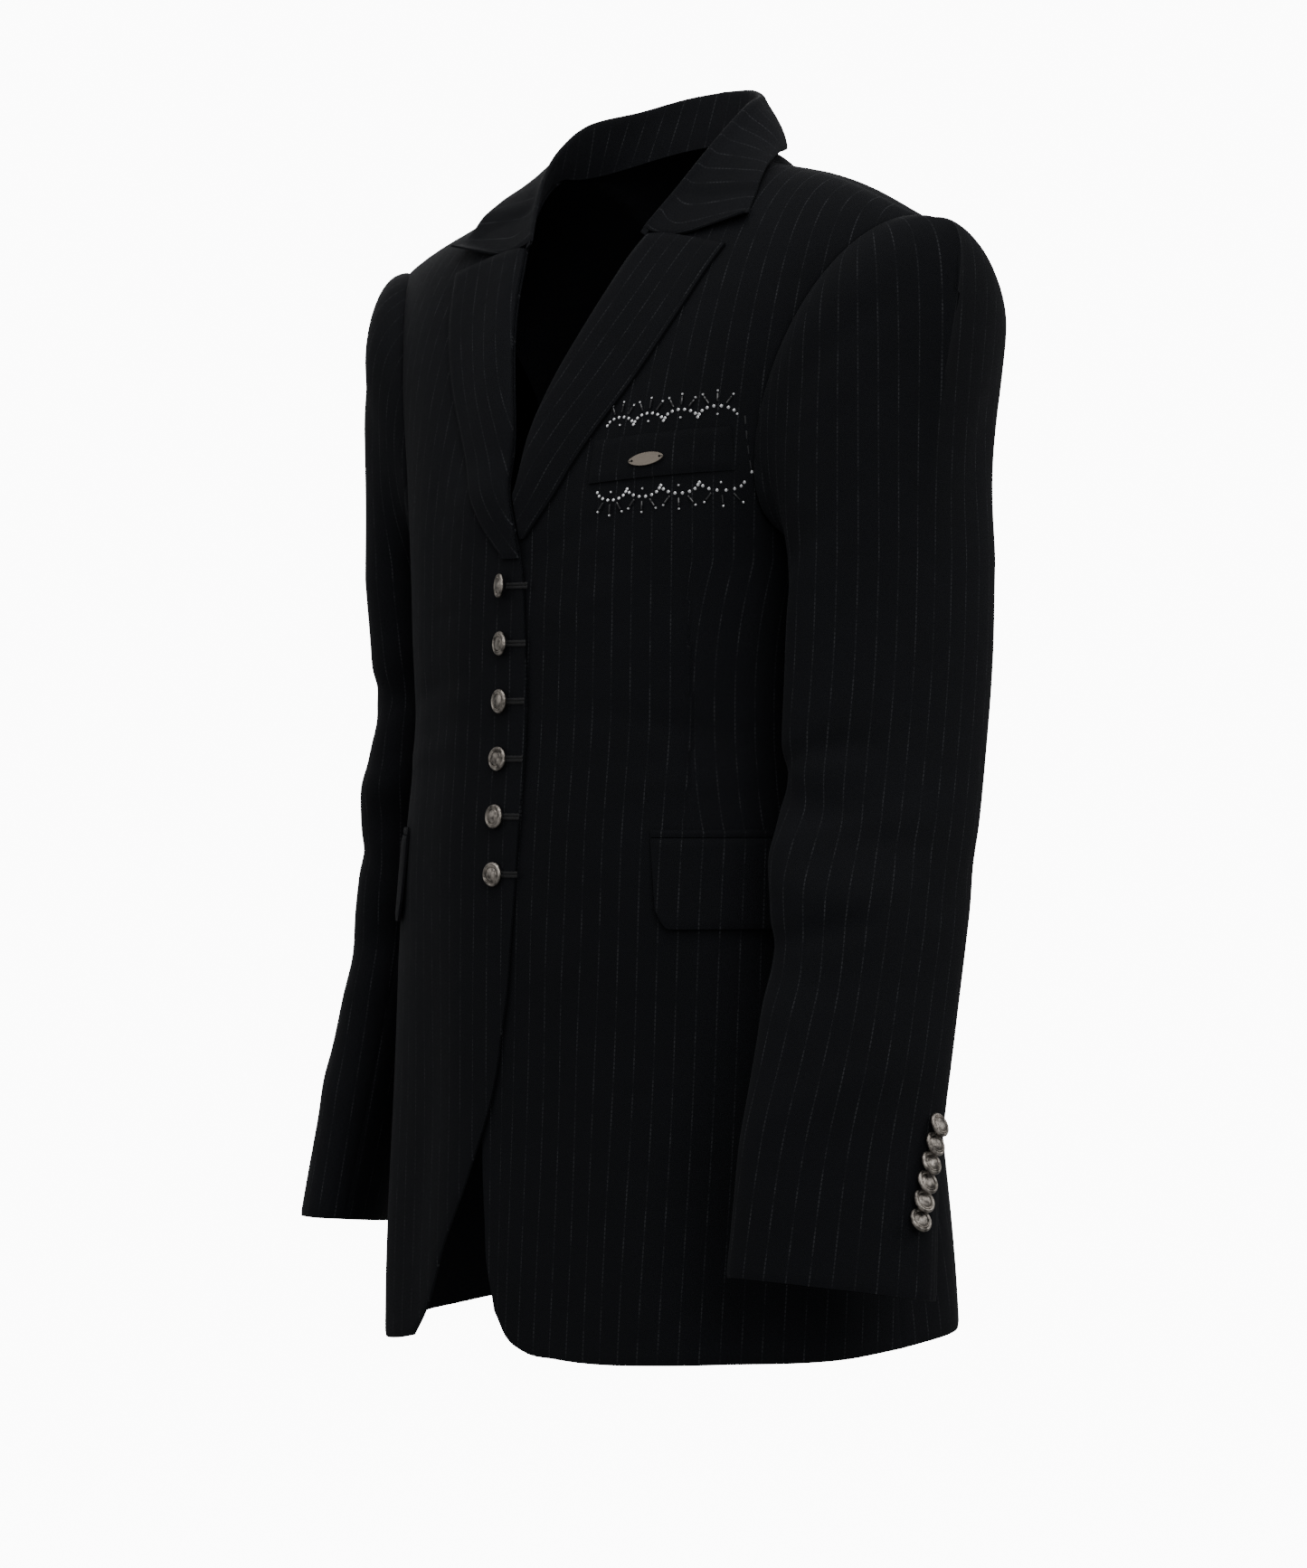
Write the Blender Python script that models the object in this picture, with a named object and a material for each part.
"""A tailored wool jacket, hollow as worn: fronts, back, two-piece sleeves, lapels, collar, pockets and buttons.

Metres, +Z up, the front faces -Y and the wearer's left is +X. The origin is the middle of the neck, level
with the points where the shoulder seams meet the collar.
"""

import math

import bmesh
import bpy
import numpy as np
from mathutils import Matrix, Vector

# Driving sizes
CLOTH = 0.0020  # thickness of cloth and its interlining together
SEAM = 0.0004  # gap left on each side of a seam line
ARMPIT_Z = -0.244
TIP_X = 0.2335  # shoulder seam's outer end
NECK_X = 0.078  # shoulder seam's inner end
NECK_Z = -0.006
SHOULDER_RISE = {"left": 0.0050, "right": -0.0020}  # one shoulder is carried a little higher than the other
BACK_NECK_Y = 0.055
BACK_NECK_RISE = 0.019  # the back of the neck above its sides
OVERLAP_LIFT = 0.0034  # how far the right front lies over the left
BUTTON_RADIUS = 0.0075
BUTTON_HEIGHT = 0.0042
BUTTON_TOP_Z = -0.2745
BUTTON_PITCH = 0.0351
CUFF_PITCH = 0.0110
CUFF_TILT = 24.0
CUFF_BUTTON_TURNS = (0.855, 0.880)  # round the sleeve, at the top button and at the lowest
CUFF_FIRST_Z = 0.044  # the lowest button's height above the middle of the cuff
CUFF_BUTTON_LIFT = 0.0019  # holds the tilted foot about 0.3 mm off the cloth
BUTTON_COUNT = 6

# Level rings of the body, from the hem up to the armpit.
# z, half width, front y, back y, widest y, roundness of the front, roundness of the back
BODY = np.array([
    (-0.760, 0.201, -0.139, 0.181, 0.010, 2.00, 2.00),
    (-0.720, 0.200, -0.138, 0.178, 0.010, 2.00, 2.00),
    (-0.600, 0.191, -0.135, 0.163, 0.006, 2.05, 2.05),
    (-0.494, 0.178, -0.134, 0.138, 0.003, 2.20, 2.10),
    (-0.424, 0.162, -0.132, 0.121, 0.000, 2.40, 2.20),
    (-0.370, 0.157, -0.128, 0.113, -0.002, 2.36, 2.25),
    (-0.310, 0.159, -0.126, 0.113, -0.002, 2.28, 2.30),
    (-0.265, 0.1620, -0.124, 0.115, 0.000, 2.22, 2.30),
    (-0.244, 0.1640, -0.123, 0.116, 0.000, 2.25, 2.30),
])

# Free edge of each front, from the hem up the roll line and the neckline to the shoulder.
# z, distance from the centre towards the front's own side
EDGE = {
    "left": np.array([
        (-0.716, 0.0000), (-0.694, -0.0074), (-0.668, -0.0100), (-0.642, -0.0125), (-0.600, -0.0140),
        (-0.450, -0.0150), (-0.300, -0.0150), (-0.260, -0.0110), (-0.235, -0.0040), (-0.212, 0.0033),
        (-0.181, 0.0080), (-0.148, 0.0190), (-0.118, 0.0316), (-0.095, 0.0405), (-0.069, 0.0500),
        (-0.0605, 0.0540), (-0.037, 0.0660), (-0.018, 0.0740), (NECK_Z, NECK_X),
    ]),
    "right": np.array([
        (-0.738, 0.0880), (-0.7235, 0.0710), (-0.711, 0.0620), (-0.687, 0.0500), (-0.668, 0.0380),
        (-0.651, 0.0280), (-0.630, 0.0180), (-0.608, 0.0080), (-0.580, -0.0010), (-0.552, -0.0060),
        (-0.530, -0.0100), (-0.496, -0.0130), (-0.450, -0.0165), (-0.300, -0.0165), (-0.265, -0.0125),
        (-0.240, -0.0060), (-0.212, 0.0033), (-0.181, 0.0080), (-0.148, 0.0190), (-0.118, 0.0316),
        (-0.095, 0.0405), (-0.069, 0.0500), (-0.0605, 0.0540), (-0.037, 0.0660), (-0.018, 0.0740),
        (NECK_Z, NECK_X),
    ]),
}

# Height of the hem round the body.
# turn from the centre (0) to the side seam (1), z
HEM = {
    ("left", "front"): np.array([
        (-0.10, -0.709), (0.00, -0.715), (0.03, -0.729), (0.08, -0.738), (0.16, -0.741), (0.40, -0.741),
        (0.70, -0.739), (1.00, -0.734),
    ]),
    ("right", "front"): np.array([
        (-0.10, -0.728), (0.20, -0.733), (0.285, -0.738), (0.36, -0.742), (0.60, -0.743), (1.00, -0.738),
    ]),
    ("left", "back"): np.array([(0.00, -0.717), (0.50, -0.722), (1.00, -0.734)]),
    ("right", "back"): np.array([(0.00, -0.717), (0.50, -0.725), (1.00, -0.738)]),
}

# Soft vertical folds of the skirt, deepest at the hem.
# side, face, turn, half width as a turn, z where it starts, depth at the hem
FOLDS = [
    ("left", "front", 0.34, 0.10, -0.500, 0.0045),
    ("left", "front", 0.56, 0.10, -0.500, -0.0060),
    ("left", "front", 0.80, 0.09, -0.470, 0.0040),
    ("right", "front", 0.42, 0.10, -0.520, 0.0050),
    ("right", "front", 0.64, 0.10, -0.500, -0.0050),
    ("left", "back", 0.28, 0.12, -0.450, 0.0060),
    ("left", "back", 0.55, 0.12, -0.480, -0.0070),
    ("left", "back", 0.80, 0.10, -0.480, 0.0050),
    ("right", "back", 0.26, 0.12, -0.460, 0.0060),
    ("right", "back", 0.52, 0.12, -0.470, -0.0065),
    ("right", "back", 0.78, 0.10, -0.480, 0.0050),
]
BUST = (0.50, 0.26, -0.262, 0.062, 0.0050)  # turn, half width as a turn, z, half height, depth

# Sections of the sleeves, from the armpit to the cuff.
# z, x, y, half width, half thickness, turn in degrees, slope of the section towards the back
SLEEVE = {
    "left": np.array([
        (-0.688, 0.238, -0.0920, 0.0625, 0.0270, 33.0, -0.16),
        (-0.610, 0.235, -0.0810, 0.0610, 0.0300, 27.0, -0.15),
        (-0.536, 0.232, -0.0626, 0.0615, 0.0330, 21.0, -0.13),
        (-0.460, 0.224, -0.0420, 0.0640, 0.0350, 19.0, -0.10),
        (-0.386, 0.214, -0.0215, 0.0670, 0.0370, 17.0, -0.05),
        (-0.320, 0.209, -0.0100, 0.0690, 0.0380, 16.0, -0.02),
        (-0.262, 0.207, -0.0060, 0.0700, 0.0380, 15.0, 0.00),
    ]),
    "right": np.array([
        (-0.680, 0.240, -0.0440, 0.0625, 0.0270, 33.0, -0.10),
        (-0.610, 0.235, -0.0250, 0.0610, 0.0300, 27.0, -0.09),
        (-0.536, 0.229, -0.0040, 0.0615, 0.0330, 21.0, -0.06),
        (-0.460, 0.222, 0.0077, 0.0640, 0.0350, 19.0, -0.04),
        (-0.386, 0.213, 0.0120, 0.0670, 0.0365, 17.0, -0.02),
        (-0.330, 0.207, 0.0125, 0.0690, 0.0370, 16.0, 0.00),
        (-0.262, 0.207, 0.0085, 0.0700, 0.0380, 15.0, 0.00),
    ]),
}
# Folds across the sleeves at the elbow.
# side, turn round the sleeve, half width as a turn, z at that turn, half height, lean, depth
SLEEVE_FOLDS = [
    ("left", 0.22, 0.20, -0.405, 0.016, 0.10, -0.0050),
    ("left", 0.18, 0.18, -0.452, 0.018, 0.08, 0.0040),
    ("left", 0.26, 0.20, -0.500, 0.018, 0.06, -0.0040),
    ("right", 0.20, 0.20, -0.345, 0.018, 0.10, -0.0050),
    ("right", 0.22, 0.20, -0.400, 0.018, 0.10, 0.0040),
    ("right", 0.24, 0.20, -0.500, 0.020, 0.06, -0.0040),
]
# How far the sleeve's head reaches out from the armhole before it falls.
# turn round the sleeve, reach
HEAD_SWELL = 1.3
HEAD = np.array([
    (0.00, 0.100), (0.06, 0.102), (0.125, 0.088), (0.20, 0.036), (0.27, 0.006), (0.40, 0.000), (0.65, 0.000),
    (0.73, 0.040), (0.80, 0.165), (0.86, 0.235), (0.92, 0.205), (1.00, 0.100),
])
ARMHOLE_DEPTH = {"front": 0.145, "back": 0.130}
ARMHOLE_STEPS = 12  # columns of a sleeve, and rows of a panel, along each half of the armhole
FRONT_SEAM = 8 / 24  # turns round the sleeve, from its outer side forwards
BACK_SEAM = 19 / 24
CAP_SHARE = 0.34  # share of a sleeve's rows above the armpit
SLEEVE_GIRTH = 0.34
QUARTER_GIRTH = 0.16  # rough width of a front or of half a back

# Half of the collar, from the centre back to the gorge seam.
# fold x, y, z, then outer edge x, y, z
COLLAR = np.array([
    (0.0000, 0.0650, 0.0470, 0.0000, 0.0770, 0.0020),
    (0.0290, 0.0590, 0.0445, 0.0350, 0.0700, 0.0020),
    (0.0535, 0.0420, 0.0370, 0.0670, 0.0510, 0.0020),
    (0.0715, 0.0140, 0.0280, 0.0905, 0.0265, -0.0020),
    (0.0750, -0.0080, 0.0120, 0.1060, 0.0020, -0.0080),
    (0.0715, -0.0260, -0.0070, 0.1155, -0.0185, -0.0180),
    (0.0630, -0.0420, -0.0290, 0.1235, -0.0360, -0.0335),
    (0.0510, -0.0590, -0.0535, 0.1300, -0.0530, -0.0495),
])
GORGE_Z = -0.0595
# End of the collar, from the fold to the notch and on to its point: x, z
COLLAR_END = np.array([(0.0545, -0.0570), (0.0720, -0.0612), (0.1300, -0.0495)])
# Upper end of the lapel, from the roll to the notch and on to its point: x, z
LAPEL_TOP = np.array([(0.0540, -0.0600), (0.0720, -0.0621), (0.1210, -0.0705)])
COLLAR_FOLD_RADIUS = 0.0035
COLLAR_BULGE = 0.0030
COLLAR_INSET = 0.0036  # from the neck edge to the face of the stand
STAND_DROP = 0.0020  # how far the stand reaches down inside the back of the neck
STAND_CLEAR = 0.0026  # how much farther in it stands there
COLLAR_CLOTH = 0.0018
STAND_SHARE = 0.30  # share of the collar's columns in the stand
FOLD_SHARE = 0.15

# Lapel: outer edge from the break up to the point.
# z, distance from the centre
LAPEL_EDGE = np.array([
    (-0.256, 0.0030), (-0.240, 0.0190), (-0.2214, 0.0340), (-0.200, 0.0470), (-0.180, 0.0600),
    (-0.156, 0.0770), (-0.115, 0.1005), (-0.0705, 0.1210),
])
LAPEL_START = {"left": -0.246, "right": -0.258}  # z where the roll starts
LAPEL_GAP = 0.0016  # from the left lapel to the right front that laps over it
LAPEL_LIFT = 0.0026  # from the front's face to the lapel's
LAPEL_PUFF = 0.0030  # how much more it stands up near the roll

# Pockets. Flap: turn of its front edge and back edge, z of its top and bottom
FLAP = (0.415, 0.950, -0.4275, -0.4815)
JET_HEIGHT = 0.0045
JET_LIFT = 0.0009  # clears the front's facets
WELT = (0.060, 0.143, -0.2145, 0.0262, 0.0065)  # near x, far x, z of its lower near corner, height, rise
PLATE = (0.0985, -0.2010, 0.0230, 0.0075, 0.0012, 8.0)  # x, z, length, width, thickness, tilt


def smoothstep(low, high, at):
    t = np.clip((at - low) / (high - low), 0.0, 1.0)
    return t * t * (3.0 - 2.0 * t)


def curve(at, xs, ys):
    """A smooth curve through the points (xs, ys), read at the values at."""
    xs = np.asarray(xs, float)
    ys = np.asarray(ys, float)
    slopes = np.gradient(ys, xs)
    i = np.clip(np.searchsorted(xs, at) - 1, 0, len(xs) - 2)
    step = xs[i + 1] - xs[i]
    t = np.clip((at - xs[i]) / step, 0.0, 1.0)
    start = (2 * t**3 - 3 * t**2 + 1) * ys[i] + (t**3 - 2 * t**2 + t) * step * slopes[i]
    end = (3 * t**2 - 2 * t**3) * ys[i + 1] + (t**3 - t**2) * step * slopes[i + 1]
    return start + end


def sign(side):
    return 1.0 if side == "left" else -1.0


def shoulder_z(x):
    """Height of the shoulder line at x."""
    return -0.0193 - 0.30 * (x - 0.117) - 0.45 * (x - 0.117) * np.abs(x - 0.117)


def body_row(z, face):
    """Half width, y of the face's middle, widest y and roundness of the ring at z."""
    z = np.clip(z, BODY[0, 0], BODY[-1, 0])
    columns = [curve(z, BODY[:, 0], BODY[:, k]) for k in range(1, 7)]
    half, front, back, widest, round_front, round_back = columns
    if face == "front":
        return half, front, widest, round_front
    return half, back, widest, round_back


def fullness(share, face):
    """Roundness of the arch from the chest or the back up to the shoulder."""
    if face == "front":
        return 1.5 + 0.5 * smoothstep(0.3, 0.85, share)
    return 2.7 - 0.2 * smoothstep(0.3, 0.85, share)


def shoulder_rise(x, side):
    """How much higher than the even shoulder line this side's line is at x."""
    across = np.clip((np.abs(x) - NECK_X) / (TIP_X - NECK_X), 0.0, 1.0)
    return SHOULDER_RISE[side] * np.sin(math.pi * across) ** 2


def top_line(share, face):
    """y and z of the line where the face ends, at the shoulder seam or the back of the neck."""
    x = np.abs(share) * TIP_X
    z = shoulder_z(x)
    y = np.zeros_like(z)
    if face == "back":
        inside = np.clip(1.0 - (x / NECK_X) ** 2, 0.0, 1.0)
        y = BACK_NECK_Y * np.sqrt(inside)
        z = np.where(x < NECK_X, shoulder_z(NECK_X) + BACK_NECK_RISE * inside, z)
    return y, z


def hem_z(turn, side, face):
    table = HEM[side, face]
    return curve(turn, table[:, 0], table[:, 1])


def height_of(turn, level, side, face):
    """z of a point given by its turn from the centre (0 to 1) and its level (-1 hem, 0 armpit, 1 shoulder)."""
    return ARMPIT_Z + level * (ARMPIT_Z - hem_z(turn, side, face))


def relief(turn, z, side, face):
    """How far soft folds move the cloth outwards."""
    out = np.zeros_like(z)
    for fold_side, fold_face, middle, width, top, depth in FOLDS:
        if (fold_side, fold_face) == (side, face):
            across = np.exp(-(((turn - middle) / width) ** 2))
            out = out + depth * across * smoothstep(top, -0.72, z)
    if face == "front":
        middle, width, bust_z, height, depth = BUST
        out = out + depth * np.exp(-(((turn - middle) / width) ** 2) - ((z - bust_z) / height) ** 2)
        if side == "right":
            out = out + OVERLAP_LIFT * smoothstep(0.30, 0.10, turn) * smoothstep(-0.19, -0.226, z)
    return out


def body(turn, level, side, face):
    """Points of the outer face. turn runs from the centre to the side, level from the hem to the shoulder."""
    turn, level = np.broadcast_arrays(np.asarray(turn, float), np.asarray(level, float))
    below = np.minimum(level, 0.0)
    z_low = height_of(turn, below, side, face)
    half, middle_y, widest, roundness = body_row(z_low, face)
    angle = np.abs(turn) * math.pi / 2
    share = np.sign(turn) * np.sin(angle) ** (2 / roundness)
    depth = np.clip(np.cos(angle), 0.0, 1.0) ** (2 / roundness)
    # Above the armpit the ring's points rise in arches to the shoulder line.
    arch = fullness(np.abs(share), face)
    rise = np.clip(level, 0.0, 1.0) * math.pi / 2
    climb = np.sin(rise) ** (2 / arch)
    hold = np.clip(np.cos(rise), 0.0, 1.0) ** (2 / arch)
    top_y, top_z = top_line(share, face)
    reach = half + (TIP_X - half) * climb**1.3
    x = share * reach
    base_y = widest + (middle_y - widest) * depth
    y = top_y + (base_y - top_y) * hold
    z = z_low + (top_z + shoulder_rise(share * TIP_X, side) - ARMPIT_Z) * climb
    out = relief(turn, z, side, face) * (1 - climb**2)
    across = x / half**2
    along = (y - widest) / (middle_y - widest) ** 2
    length = np.sqrt(across**2 + along**2) + 1e-9
    x = x + out * across / length
    y = y + out * along / length
    return np.stack([sign(side) * x, y, z], axis=-1)


def normals(surface, a, b, outward, step=2e-3):
    """Unit normals of surface(a, b), pointing away from the point outward."""
    da = surface(a + step, b) - surface(a - step, b)
    db = surface(a, b + step) - surface(a, b - step)
    n = np.cross(da, db)
    n /= np.linalg.norm(n, axis=-1, keepdims=True) + 1e-12
    flip = np.sign(((surface(a, b) - outward) * n).sum(axis=-1, keepdims=True))
    return n * np.where(flip == 0, 1.0, flip)


def share_and_level(x, z, side, face):
    """Turn and level of the point of the face at distance x from the centre and height z."""
    x, z = np.broadcast_arrays(np.asarray(x, float), np.asarray(z, float))
    turn = np.abs(x) * 3.0
    for _ in range(12):
        hem = hem_z(turn, side, face)
        half, _, _, roundness = body_row(np.minimum(z, ARMPIT_Z), face)
        share = np.sin(np.clip(turn, 0, 1) * math.pi / 2) ** (2 / roundness)
        _, top_z = top_line(share, face)
        top_z = top_z + shoulder_rise(share * TIP_X, side)
        climb = np.clip((z - ARMPIT_Z) / (top_z - ARMPIT_Z), 0.0, 1.0)
        reach = half + (TIP_X - half) * climb**1.3
        share = np.clip(np.abs(x) / reach, 0.0, 0.9999)
        turn = np.arcsin(share ** (roundness / 2)) * 2 / math.pi
    arch = fullness(share, face)
    above = np.arcsin(np.clip(climb ** (arch / 2), 0.0, 1.0)) * 2 / math.pi
    level = np.where(z > ARMPIT_Z, above, (z - ARMPIT_Z) / (ARMPIT_Z - hem))
    return np.sign(x) * turn, level


def armhole_shape(a, face):
    """Turn and level of a point of the armhole; a is 0 at the shoulder tip and pi at the armpit."""
    deep = ARMHOLE_DEPTH[face]
    share = 1.0 - deep * np.sin(np.clip(a, 0, math.pi)) ** 0.7
    climb = 0.5 + 0.5 * np.cos(a)
    _, _, _, roundness = body_row(np.full_like(climb, ARMPIT_Z), face)
    turn = np.arcsin(np.clip(share, 0.0, 1.0) ** (roundness / 2)) * 2 / math.pi
    arch = fullness(share, face)
    level = np.arcsin(np.clip(climb ** (arch / 2), 0.0, 1.0)) * 2 / math.pi
    return turn, level


def armhole(part, side, face):
    """Turn and level of the armhole, by the part of its length from the shoulder tip (0) to the armpit (1)."""
    dense = np.linspace(0.0, math.pi, 600)
    line = body(*armhole_shape(dense, face), side, face)
    run = np.concatenate([[0.0], np.cumsum(np.linalg.norm(np.diff(line, axis=0), axis=1))])
    return armhole_shape(np.interp(np.clip(part, 0.0, 1.0) * run[-1], run, dense), face)


def panel_grid(side, face, rows_low, rows_high, columns):
    """Turn and level of a panel's points: rows from hem to shoulder, columns from the edge to the side."""
    steps_low = -1.0 + np.arange(rows_low) / rows_low
    steps_high = np.linspace(0.0, 1.0, rows_high + 1)
    rows = np.concatenate([steps_low, steps_high])
    low = rows < 0
    # Outer side: side seam, then armhole.
    hole_turn, hole_level = armhole(1.0 - np.clip(rows, 0.0, 1.0), side, face)
    seam_turn = 1.0 - 0.5 * SEAM / QUARTER_GIRTH
    side_turn = np.where(low, seam_turn, np.minimum(hole_turn, seam_turn))
    side_level = np.where(low, rows, hole_level)
    side_level = np.where(rows > 0.999, 1.0 - 2 * SEAM, side_level)
    # Inner side: front edge, roll line and neckline, or the centre back seam.
    if face == "front":
        table = EDGE[side]
        z = np.where(low, table[0, 0] + (rows + 1) * (ARMPIT_Z - table[0, 0]),
                     ARMPIT_Z + np.clip(rows, 0, 1) * (NECK_Z - ARMPIT_Z))
        x = curve(z, table[:, 0], table[:, 1])
        near_turn, near_level = share_and_level(x, z, side, face)
        near_level = np.where(low, rows, near_level)
        near_level = np.where(rows > 0.999, 1.0 - 2 * SEAM, near_level)
    else:
        near_turn = np.full_like(rows, 0.5 * SEAM / QUARTER_GIRTH)
        near_level = np.where(rows > 0.999, 1.0 - 2 * SEAM, rows)
    u = np.linspace(0.0, 1.0, columns + 1)[None, :]
    if face == "back":
        u = u**1.25
    turn = near_turn[:, None] * (1 - u) + side_turn[:, None] * u
    # Rows run level where they meet the armhole.
    near = (1 - u) ** 2.2
    level = near_level[:, None] * near + side_level[:, None] * (1 - near)
    return turn, level


def wall(name, outer, inner, material):
    """A closed wall between two grids of points that have the same rows and columns."""
    rows, columns = outer.shape[:2]
    mesh = bmesh.new()
    faces = []
    for grid in (outer, inner):
        faces.append([[mesh.verts.new(grid[i, j]) for j in range(columns)] for i in range(rows)])
    top, under = faces
    for i in range(rows - 1):
        for j in range(columns - 1):
            mesh.faces.new((top[i][j], top[i][j + 1], top[i + 1][j + 1], top[i + 1][j]))
            mesh.faces.new((under[i][j], under[i + 1][j], under[i + 1][j + 1], under[i][j + 1]))
    rim = [(0, j) for j in range(columns)] + [(i, columns - 1) for i in range(1, rows)]
    rim += [(rows - 1, j) for j in range(columns - 2, -1, -1)] + [(i, 0) for i in range(rows - 2, 0, -1)]
    for (i, j), (k, m) in zip(rim, rim[1:] + rim[:1]):
        mesh.faces.new((top[k][m], top[i][j], under[i][j], under[k][m]))
    bmesh.ops.triangulate(mesh, faces=mesh.faces[:])
    if mesh.calc_volume(signed=True) < 0:
        bmesh.ops.reverse_faces(mesh, faces=mesh.faces[:])
    return add_object(name, mesh, material)


def add_object(name, mesh, material):
    data = bpy.data.meshes.new(name)
    mesh.to_mesh(data)
    mesh.free()
    data.materials.append(material)
    data.shade_smooth()
    data.set_sharp_from_angle(angle=math.radians(40))
    piece = bpy.data.objects.new(name, data)
    JACKET.objects.link(piece)
    return piece


def make_material(name, colour, roughness, metallic=0.0):
    material = bpy.data.materials.new(name)
    material.use_nodes = True
    shader = material.node_tree.nodes["Principled BSDF"]
    shader.inputs["Base Color"].default_value = (*colour, 1.0)
    shader.inputs["Roughness"].default_value = roughness
    shader.inputs["Metallic"].default_value = metallic
    return material


def make_panel(side, face, material):
    """One front or one half of the back."""
    columns = 13 if face == "front" else 12
    turn, level = panel_grid(side, face, 11, ARMHOLE_STEPS, columns)

    def surface(a, b):
        return body(a, b, side, face)

    outer = surface(turn, level)
    axis = outer * np.array([0.0, 0.0, 1.0]) + np.array([0.0, 0.0, -0.05])
    inner = outer - CLOTH * normals(surface, turn, np.minimum(level, 0.9985), axis)
    # Both faces stop short of the shoulder seam.
    for grid in (outer, inner):
        if face == "front":
            grid[..., 1] = np.where(level > 0.5, np.minimum(grid[..., 1], -SEAM / 2), grid[..., 1])
        else:
            grid[..., 1] = np.where(level > 0.5, np.maximum(grid[..., 1], SEAM / 2), grid[..., 1])
    return wall(f"{face}_{side}", outer, inner, material)


def on_front(x, z, side, lift):
    """Points on a front at distance x from the centre and height z, moved out by lift."""
    turn, level = share_and_level(x, z, side, "front")
    return on_face(turn, level, side, lift)


def on_face(turn, level, side, lift):
    def surface(a, b):
        return body(a, b, side, "front")

    points = surface(turn, level)
    axis = points * np.array([0.0, 0.0, 1.0]) + np.array([0.0, 0.0, -0.05])
    lift = np.asarray(lift)
    if lift.ndim:
        lift = lift[..., None]
    return points + lift * normals(surface, turn, np.minimum(level, 0.9985), axis)


def lapel_points(side, along, across, sink=0.0):
    """Points of a lapel: along runs from the break to the gorge seam, across from the roll to the edge."""
    table = EDGE[side]
    start = LAPEL_START[side]
    top = LAPEL_TOP[0, 1]
    roll_z = start + along * (top - start)
    roll_x = curve(roll_z, table[:, 0], table[:, 1]) - 0.0006
    if side == "left":
        other = EDGE["right"]
        roll_x = np.maximum(roll_x, LAPEL_GAP - curve(roll_z, other[:, 0], other[:, 1]))
    edge_z = start + along * (LAPEL_EDGE[-1, 0] - start)
    edge_x = curve(edge_z, LAPEL_EDGE[:, 0], LAPEL_EDGE[:, 1])
    edge_x = np.maximum(edge_x, roll_x + 0.003)
    x = roll_x + (edge_x - roll_x) * across
    z = roll_z + (edge_z - roll_z) * across
    straight = top + (LAPEL_EDGE[-1, 0] - top) * across
    bent = np.interp(x, LAPEL_TOP[:, 0], LAPEL_TOP[:, 1])
    z = z + (bent - straight) * smoothstep(0.8, 1.0, along)
    puff = LAPEL_PUFF * np.sin(math.pi * np.clip(across, 0, 1) ** 0.6) * smoothstep(0.0, 0.25, along)
    return on_front(x, z, side, LAPEL_LIFT + puff - sink)


def make_lapel(side, material):
    along, across = np.meshgrid(np.linspace(0, 1, 14), np.linspace(0, 1, 8), indexing="ij")
    outer = lapel_points(side, along, across)
    inner = lapel_points(side, along, across, sink=CLOTH)
    return wall(f"lapel_{side}", outer, inner, material)


def sleeve_section(z, turn, side):
    """Points of the sleeve's section whose middle is at z; turn 0 is its outer side, 0.25 its front."""
    table = SLEEVE[side]
    columns = [curve(z, table[:, 0], table[:, k]) for k in range(1, 7)]
    x, y, wide, thick, degrees, slope = columns
    angle = np.radians(degrees)
    round_it = 2 * math.pi * turn
    out = thick * np.cos(round_it)
    back = -wide * np.sin(round_it)
    px = x + out * np.cos(angle) + back * np.sin(angle)
    py = y - out * np.sin(angle) + back * np.cos(angle)
    pz = z + slope * (py - y)
    return np.stack([sign(side) * px, py, pz], axis=-1)


def armhole_seam(part, side, face):
    """Points just off the armhole's edge, on the side where the sleeve is."""
    step = 0.02

    def rim(at):
        return body(*armhole(at, side, face), side, face)

    here = rim(part)
    run = rim(np.clip(part + step, 0.0, 1.0)) - rim(np.clip(part - step, 0.0, 1.0))
    turn, level = armhole(part, side, face)

    def surface(b, c):
        return body(b, c, side, face)

    axis = here * np.array([0.0, 0.0, 1.0]) + np.array([0.0, 0.0, -0.05])
    up = normals(surface, np.minimum(turn, 0.996), np.clip(level, 0.004, 0.996), axis)
    off = np.cross(run, up)
    off /= np.linalg.norm(off, axis=-1, keepdims=True) + 1e-12
    hub = np.array([sign(side) * 0.30, 0.0, -0.15])
    off *= np.sign(((hub - here) * off).sum(axis=-1, keepdims=True))
    return here + SEAM * 2.0 * off


def beside_body(points, side, clearance):
    """Keeps the under side of a sleeve just off the body."""
    x, y, z = np.abs(points[..., 0]), points[..., 1], points[..., 2]
    low = np.minimum(z, ARMPIT_Z)
    widths = []
    for face in ("front", "back"):
        half, middle_y, widest, roundness = body_row(low, face)
        ahead = (y - widest) / (middle_y - widest)
        width = half * (1 - np.clip(ahead, 0.0, 1.0) ** roundness) ** (1 / roundness)
        widths.append(np.where(ahead < 0, 0.0, width))
    need = np.maximum(*widths) + clearance
    push = np.clip(need - x, 0.0, None) * smoothstep(ARMPIT_Z + 0.005, ARMPIT_Z - 0.002, z)
    moved = points.copy()
    moved[..., 0] += sign(side) * push
    return moved


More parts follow.
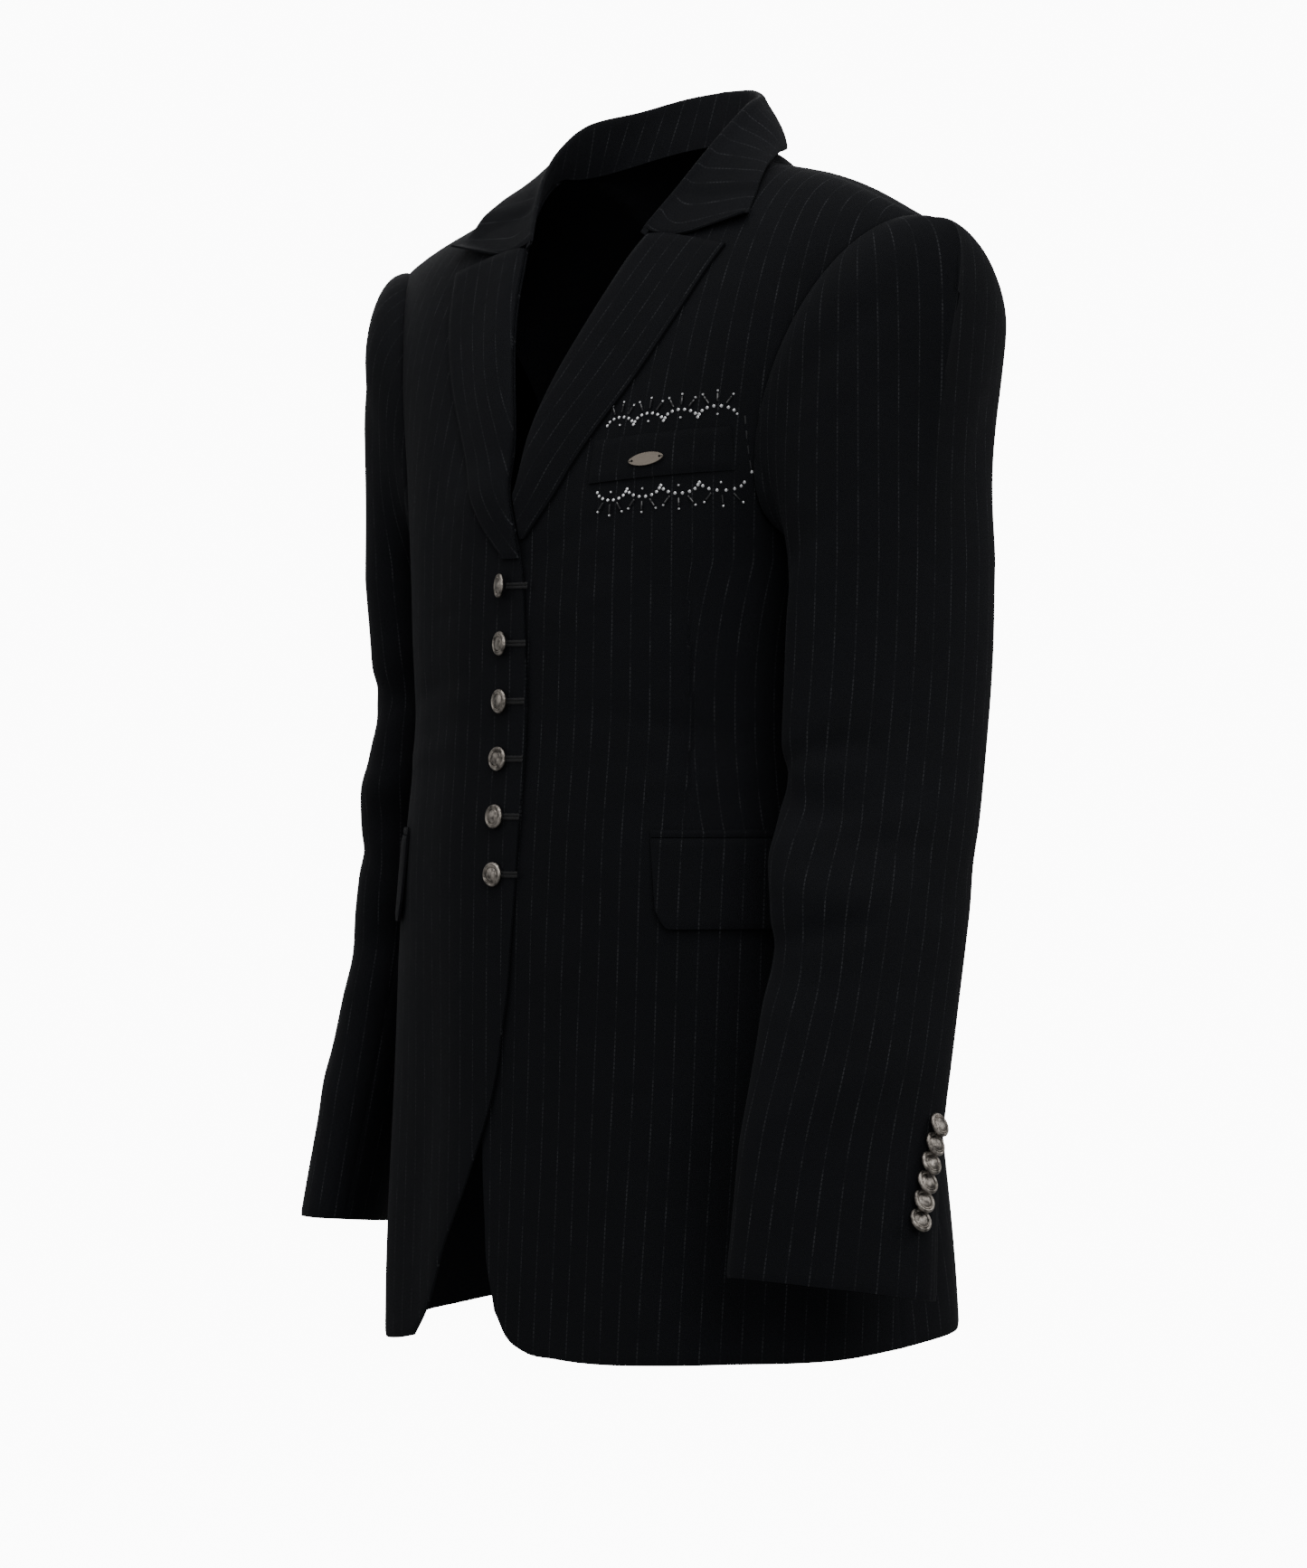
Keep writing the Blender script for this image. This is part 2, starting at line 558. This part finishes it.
def sleeve(turn, along, side):
    """Points of a sleeve: along 0 is the armhole, 1 the cuff."""
    turn, along = np.broadcast_arrays(np.asarray(turn, float), np.asarray(along, float))
    table = SLEEVE[side]
    wrapped = turn % 1.0
    front = armhole_seam(np.clip(wrapped, 0.0, 0.5) * 2, side, "front")
    back = armhole_seam(np.clip(1.0 - wrapped, 0.0, 0.5) * 2, side, "back")
    start = np.where((wrapped <= 0.5)[..., None], front, back)
    end = sleeve_section(np.full_like(turn, table[-1, 0]), turn, side)
    lean = 2 * math.pi * wrapped
    reach = curve(wrapped, HEAD[:, 0], HEAD[:, 1])
    ahead = np.stack([
        sign(side) * (0.042 + 0.024 * np.cos(lean)),
        -0.024 * np.sin(lean),
        0.004 + 0.012 * np.cos(lean) - 0.020 * np.abs(np.sin(lean)),
    ], axis=-1)
    swell = np.stack([sign(side) * reach * np.cos(lean), -reach * np.sin(lean), np.zeros_like(turn)], axis=-1)
    fall = np.stack([np.zeros_like(turn), np.zeros_like(turn), end[..., 2] - start[..., 2]], axis=-1)
    t = np.clip(along / CAP_SHARE, 0.0, 1.0)[..., None]
    cap = (2 * t**3 - 3 * t**2 + 1) * start + (t**3 - 2 * t**2 + t) * ahead
    cap = cap + (3 * t**2 - 2 * t**3) * end + (t**3 - t**2) * fall + HEAD_SWELL * t * (1 - t) ** 3 * swell
    down = np.clip((along - CAP_SHARE) / (1 - CAP_SHARE), 0.0, 1.0)
    z = table[-1, 0] + down * (table[0, 0] - table[-1, 0])
    arm = sleeve_section(z, turn, side)
    points = np.where((along < CAP_SHARE)[..., None], cap, arm)
    out = np.zeros_like(z)
    for fold_side, middle, width, fold_z, height, tilt, depth in SLEEVE_FOLDS:
        if fold_side == side:
            gap = (turn - middle + 0.5) % 1.0 - 0.5
            drop = (points[..., 2] - fold_z - tilt * gap) / height
            out = out + depth * np.exp(-((gap / width) ** 2) - drop**2)
    centre = sleeve_section(z, np.full_like(turn, 0.0), side)
    centre = centre - (centre - sleeve_section(z, np.full_like(turn, 0.5), side)) / 2
    away = points - centre
    away[..., 2] = 0.0
    away /= np.linalg.norm(away, axis=-1, keepdims=True) + 1e-9
    return beside_body(points + out[..., None] * away, side, 0.0014)


def sleeve_axis(along, side):
    z = -0.10 + np.asarray(along, float) * (SLEEVE[side][0, 0] + 0.10)
    z = np.clip(z, SLEEVE[side][0, 0], -0.10)
    low = np.minimum(z, SLEEVE[side][-1, 0])
    x = curve(low, SLEEVE[side][:, 0], SLEEVE[side][:, 1])
    y = curve(low, SLEEVE[side][:, 0], SLEEVE[side][:, 2])
    return np.stack([sign(side) * x, y, z], axis=-1)


def make_sleeve(side, part, material):
    first, last = (FRONT_SEAM, BACK_SEAM) if part == "under" else (BACK_SEAM - 1.0, FRONT_SEAM)
    columns = round((last - first) * 2 * ARMHOLE_STEPS)
    turn = np.linspace(first, last, columns + 1)
    turn[0] += SEAM / SLEEVE_GIRTH / 2
    turn[-1] -= SEAM / SLEEVE_GIRTH / 2
    along = np.concatenate([np.linspace(0, CAP_SHARE, 6), np.linspace(CAP_SHARE, 1, 15)[1:]])
    along, turn = np.meshgrid(along, turn, indexing="ij")

    def surface(a, b):
        return sleeve(a, b, side)

    outer = surface(turn, along)
    inside = np.clip(along, 0.003, 0.997)
    inner = outer - CLOTH * normals(surface, turn, inside, sleeve_axis(along, side))
    return wall(f"sleeve_{side}_{part}", outer, inner, material)


def body_gap(points):
    """Rough distance of points from the body's upper face, and the direction away from it."""

    def value(p):
        face = np.where(p[..., 1] < 0, 0, 1)
        found = []
        for name in ("front", "back"):
            half, middle_y, widest, roundness = body_row(np.full(p.shape[:-1], ARMPIT_Z), name)
            climb = np.clip((p[..., 2] - ARMPIT_Z) / (0.005 - ARMPIT_Z), 0.0, 1.0)
            reach = half + (TIP_X - half) * climb**1.3
            share = np.clip(np.abs(p[..., 0]) / reach, 0.0, 1.0)
            top_y, top_z = top_line(share, name)
            raised = [shoulder_rise(share * TIP_X, side) for side in ("left", "right")]
            top_z = top_z + np.where(p[..., 0] > 0, *raised)
            up = np.clip((p[..., 2] - ARMPIT_Z) / (top_z - ARMPIT_Z), 0.0, None)
            arch = fullness(share, name)
            depth = (1 - share**roundness) ** (1 / roundness)
            base = widest + (middle_y - widest) * depth
            out = np.clip((p[..., 1] - top_y) / (base - top_y), 0.0, None)
            found.append(out**arch + up**arch - 1.0)
        return np.where(face == 0, found[0], found[1])

    here = value(points)
    step = 1e-4
    slopes = [(value(points + step * e) - value(points - step * e)) / (2 * step) for e in np.eye(3)]
    slope = np.stack(slopes, axis=-1)
    size = np.linalg.norm(slope, axis=-1, keepdims=True) + 1e-9
    return here / size[..., 0], slope / size


def clear_of_body(points, clearance):
    """Moves points that lie nearer to the body than clearance out to it."""
    for _ in range(6):
        gap, away = body_gap(points)
        points = points + away * np.clip(clearance - gap, 0.0, 0.01)[..., None]
    return points


def neck_seam(round_it, side):
    """Points where the collar is sewn on: round_it 0 is the centre back, 0.5 the shoulder, 1 the gorge."""
    angle = np.clip(round_it / 0.5, 0.0, 1.0) * math.pi / 2
    top = shoulder_z(NECK_X)
    rise = BACK_NECK_RISE * np.cos(angle) ** 2
    behind = np.stack([NECK_X * np.sin(angle), BACK_NECK_Y * np.cos(angle), top + rise], axis=-1)
    behind[..., 0] *= sign(side)
    z = NECK_Z + np.clip((round_it - 0.5) / 0.5, 0.0, 1.0) * (GORGE_Z - NECK_Z)
    x = curve(z, EDGE[side][:, 0], EDGE[side][:, 1])
    ahead = on_front(x, z, side, 0.0)
    return np.where((round_it <= 0.5)[..., None], behind, ahead)


def collar_points(round_it, across):
    """Points of the collar: round_it runs from one end (-1) to the other (1), across from neck seam to edge."""
    round_it, across = np.broadcast_arrays(np.asarray(round_it, float), np.asarray(across, float))
    half = np.abs(round_it)
    index = np.linspace(0.0, 1.0, len(COLLAR))
    columns = np.stack([curve(half, index, COLLAR[:, k]) for k in range(6)], axis=-1)
    flip = np.where(round_it < 0, -1.0, 1.0)
    mirror = np.stack([flip, np.ones_like(flip), np.ones_like(flip)], axis=-1)
    fold, edge = columns[..., 0:3] * mirror, columns[..., 3:6] * mirror
    seam = neck_seam(half, "left") * mirror
    out = edge - seam
    out[..., 2] = 0
    out /= np.linalg.norm(out, axis=-1, keepdims=True)
    up = np.array([0.0, 0.0, 1.0])
    behind = (1.0 - smoothstep(0.48, 0.62, half))[..., None]
    seam = seam - out * (COLLAR_INSET + STAND_CLEAR * behind) + up * (SEAM - (STAND_DROP + SEAM) * behind)
    radius = COLLAR_FOLD_RADIUS
    centre = fold - up * radius
    t = across[..., None]
    stand = seam + (centre - out * radius - seam) * np.clip(t / STAND_SHARE, 0, 1)
    spin = np.clip((t - STAND_SHARE) / FOLD_SHARE, 0, 1) * math.pi
    bend = centre - out * radius * np.cos(spin) + up * radius * np.sin(spin)
    s = np.clip((t - STAND_SHARE - FOLD_SHARE) / (1 - STAND_SHARE - FOLD_SHARE), 0, 1)
    fall_start = centre + out * radius
    fall = fall_start + (edge - fall_start) * s + out * COLLAR_BULGE * np.sin(math.pi * s)
    end_z = np.interp(np.abs(fall[..., 0]), COLLAR_END[:, 0], COLLAR_END[:, 1])
    near_end = smoothstep(0.82, 1.0, half) * smoothstep(0.0, 0.1, s[..., 0])
    fall[..., 2] += (end_z - fall[..., 2]) * near_end
    fall = clear_of_body(fall, LAPEL_LIFT + 0.0004)
    return np.where(t <= STAND_SHARE, stand, np.where(t < STAND_SHARE + FOLD_SHARE, bend, fall))


def make_collar(material):
    bend = STAND_SHARE + FOLD_SHARE
    across = np.concatenate([
        np.linspace(0, STAND_SHARE, 3), np.linspace(STAND_SHARE, bend, 5)[1:], np.linspace(bend, 1.0, 6)[1:],
    ])
    round_it, across = np.meshgrid(np.linspace(-1, 1, 33), across, indexing="ij")

    def surface(a, b):
        return collar_points(a, b)

    outer = surface(round_it, across)
    step = 1e-3
    da = surface(round_it + step, across) - surface(round_it - step, across)
    db = surface(round_it, across + step) - surface(round_it, across - step)
    n = np.cross(db, da)
    n /= np.linalg.norm(n, axis=-1, keepdims=True)
    # The face that shows looks outwards on the fall.
    if n[len(n) // 2, -2, 1] < 0:
        n = -n
    return wall("collar", outer, outer - COLLAR_CLOTH * n, material)


def patch(name, side, turn_or_x, z, lift, thick, material, by_turn):
    """A flat piece that lies on a front: its under face is lift from the front, its outer face thick more."""
    if by_turn:
        hem = hem_z(turn_or_x, side, "front")
        level = (z - ARMPIT_Z) / (ARMPIT_Z - hem)
        under = on_face(turn_or_x, level, side, lift)
        outer = on_face(turn_or_x, level, side, lift + thick)
    else:
        under = on_front(turn_or_x, z, side, lift)
        outer = on_front(turn_or_x, z, side, lift + thick)
    return wall(name, outer, under, material)


def flap_turns(near, far):
    """Turns of a flap's columns, closer together at its rounded corners."""
    width = far - near
    middle = np.linspace(near + 0.06 * width, far - 0.06 * width, 7)
    return np.concatenate([[near, near + 0.025 * width], middle, [far - 0.025 * width, far]])


def make_hip_pocket(side, cloth):
    near, far, top, bottom = FLAP
    turn, down = np.meshgrid(flap_turns(near, far), np.linspace(0, 1, 4), indexing="ij")
    height = top - bottom
    # The flap's lower corners are rounded.
    corner = 0.06
    squeeze = np.minimum((turn - near), (far - turn)) / (far - near)
    shorten = 0.012 / height * np.clip(1 - squeeze / corner, 0, 1) ** 2
    z = top - height * down * (1 - shorten)
    patch(f"flap_{side}", side, turn, z, 0.0006, 0.0026, cloth, by_turn=True)
    turn, down = np.meshgrid(np.linspace(near, far, 9), np.linspace(0, 1, 2), indexing="ij")
    z = top + 0.0006 + JET_HEIGHT * (1 - down)
    patch(f"jet_{side}", side, turn, z, JET_LIFT, 0.0016, cloth, by_turn=True)


def make_breast_welt(cloth):
    near, far, low, height, rise = WELT
    x, up = np.meshgrid(np.linspace(near, far, 9), np.linspace(0, 1, 3), indexing="ij")
    z = low + rise * (x - near) / (far - near) + height * up
    patch("breast_welt", "left", x, z, 0.0005, 0.0018, cloth, by_turn=False)


def frame_at(point, normal, spin=0.0):
    """A matrix that puts +Z on the normal and turns about it."""
    z = Vector(normal).normalized()
    x = Vector((0, 0, 1)).cross(z).normalized()
    y = z.cross(x)
    turn = Matrix((x, y, z)).transposed().to_4x4()
    return Matrix.Translation(Vector(point)) @ turn @ Matrix.Rotation(spin, 4, "Z")


def front_frame(x, z, side, lift, spin=0.0):
    inner = on_front(np.array([x]), np.array([z]), side, 0.0)[0]
    outer = on_front(np.array([x]), np.array([z]), side, 0.01)[0]
    normal = (outer - inner) / 0.01
    return frame_at(inner + normal * lift, normal, spin)


def make_plate(metal):
    """A flat pointed oval, cut from sheet."""
    x, z, length, width, thick, tilt = PLATE
    mesh = bmesh.new()
    count = 8
    rim = []
    for k in range(2 * count):
        t = (k % count) / count
        half = 1.0 if k < count else -1.0
        along = (0.5 - t) * length * half
        aside = half * 0.5 * width * math.sin(math.pi * t) ** 0.8
        rim.append(mesh.verts.new((along, aside, 0.0)))
    face = mesh.faces.new(rim)
    made = bmesh.ops.extrude_face_region(mesh, geom=[face])
    up = [v for v in made["geom"] if isinstance(v, bmesh.types.BMVert)]
    bmesh.ops.translate(mesh, verts=up, vec=(0, 0, thick))
    if mesh.calc_volume(signed=True) < 0:
        bmesh.ops.reverse_faces(mesh, faces=mesh.faces[:])
    mesh.normal_update()
    piece = add_object("pocket_plate", mesh, metal)
    piece.matrix_world = front_frame(x, z, "left", 0.0027, math.radians(tilt))


def button_mesh():
    """A domed button with a raised rim and a short foot, its back at z = 0."""
    profile = [(0.0, BUTTON_HEIGHT), (0.45, BUTTON_HEIGHT * 0.94), (0.78, BUTTON_HEIGHT * 0.72),
               (0.90, BUTTON_HEIGHT * 0.74), (1.0, BUTTON_HEIGHT * 0.50), (0.94, BUTTON_HEIGHT * 0.28),
               (0.40, BUTTON_HEIGHT * 0.22), (0.36, 0.0), (0.0, 0.0)]
    mesh = bmesh.new()
    line = [mesh.verts.new((r * BUTTON_RADIUS, 0.0, z)) for r, z in profile]
    edges = [mesh.edges.new(pair) for pair in zip(line, line[1:])]
    bmesh.ops.spin(mesh, geom=line + edges, cent=(0, 0, 0), axis=(0, 0, 1), angle=2 * math.pi, steps=10,
                   use_merge=True)
    bmesh.ops.remove_doubles(mesh, verts=mesh.verts[:], dist=1e-6)
    bmesh.ops.recalc_face_normals(mesh, faces=mesh.faces[:])
    if mesh.calc_volume(signed=True) < 0:
        bmesh.ops.reverse_faces(mesh, faces=mesh.faces[:])
    data = bpy.data.meshes.new("button")
    mesh.to_mesh(data)
    mesh.free()
    data.shade_smooth()
    return data


def make_front_buttons(data):
    for k in range(BUTTON_COUNT):
        piece = bpy.data.objects.new(f"front_button_{k + 1}", data)
        JACKET.objects.link(piece)
        piece.matrix_world = front_frame(0.0, BUTTON_TOP_Z - BUTTON_PITCH * k, "right", 0.0004)


def make_cuff_buttons(side, data):
    """Six buttons up the vent, each resting on the edge of the one below it."""
    table = SLEEVE[side]
    for k in range(BUTTON_COUNT):
        z = table[0, 0] + CUFF_FIRST_Z + CUFF_PITCH * (BUTTON_COUNT - 1 - k)
        along = CAP_SHARE + (1 - CAP_SHARE) * (z - table[-1, 0]) / (table[0, 0] - table[-1, 0])
        turn = np.array([np.interp(k, (0, BUTTON_COUNT - 1), CUFF_BUTTON_TURNS)])
        here = sleeve(turn, np.array([along]), side)[0]
        axis = sleeve_axis(along, side)

        def surface(a, b):
            return sleeve(a, b, side)

        n = normals(surface, turn, np.array([along]), axis)[0]
        piece = bpy.data.objects.new(f"cuff_button_{side}_{k + 1}", data)
        JACKET.objects.link(piece)
        tip = Matrix.Rotation(math.radians(-CUFF_TILT), 4, "X")
        piece.matrix_world = frame_at(here + n * CUFF_BUTTON_LIFT, n) @ tip


def clear_scene():
    for piece in list(bpy.data.objects):
        bpy.data.objects.remove(piece, do_unlink=True)


clear_scene()
JACKET = bpy.data.collections.new("wool_jacket")
bpy.context.scene.collection.children.link(JACKET)
WOOL = make_material("pinstriped_wool", (0.012, 0.013, 0.015), 0.85)
SILVER = make_material("antique_silver", (0.48, 0.45, 0.40), 0.38, 1.0)
PLATE_METAL = make_material("matt_plate_metal", (0.26, 0.24, 0.21), 0.5, 1.0)

for side in ("left", "right"):
    make_panel(side, "front", WOOL)
    make_panel(side, "back", WOOL)
    make_lapel(side, WOOL)
    make_sleeve(side, "upper", WOOL)
    make_sleeve(side, "under", WOOL)
    make_hip_pocket(side, WOOL)
make_collar(WOOL)
make_breast_welt(WOOL)
make_plate(PLATE_METAL)
BUTTON = button_mesh()
BUTTON.materials.append(SILVER)
make_front_buttons(BUTTON)
for side in ("left", "right"):
    make_cuff_buttons(side, BUTTON)
bpy.context.view_layer.update()
